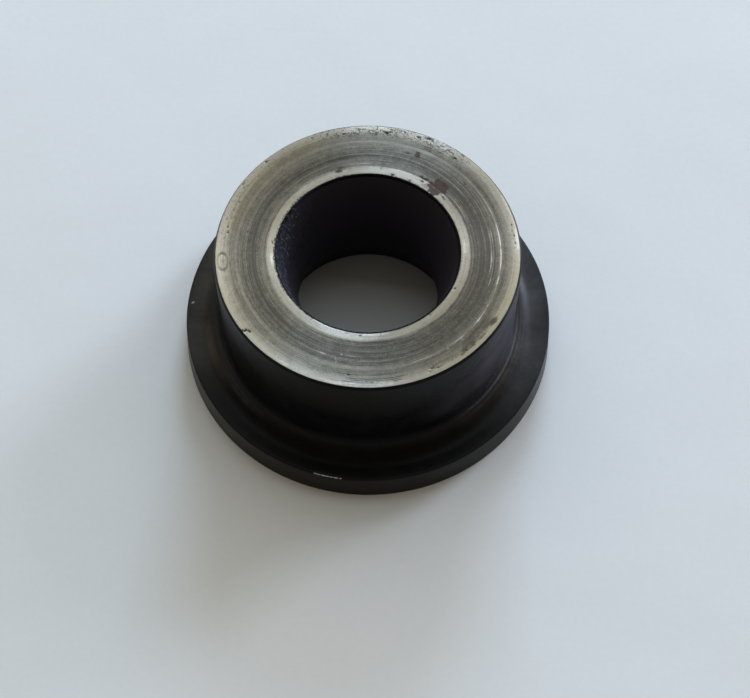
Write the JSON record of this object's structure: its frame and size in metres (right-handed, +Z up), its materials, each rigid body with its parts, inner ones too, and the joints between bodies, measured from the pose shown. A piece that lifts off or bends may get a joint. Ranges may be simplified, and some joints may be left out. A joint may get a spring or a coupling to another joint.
{
  "type": "rubber metal bush",
  "caption": "Round flanged bush: a turned steel sleeve with a bare, ring-shaped top face, bonded into a black rubber moulding with a waisted bore and a flat flanged foot.",
  "frame": {"origin": "centre of the flat foot, the underside of the flange", "axes": "+Z up along the bore, out of the bare steel face"},
  "size_m": [0.0624, 0.0624, 0.0261],
  "materials": {
    "steel": "bare turned steel with concentric tool marks, light tarnish, small rust spots and pits",
    "rubber": "black moulded rubber, satin, with faint bloom and a few nicks"
  },
  "bodies": {
    "root": {"steel_sleeve": "steel", "rubber_moulding": "rubber"}
  },
  "joints": []
}
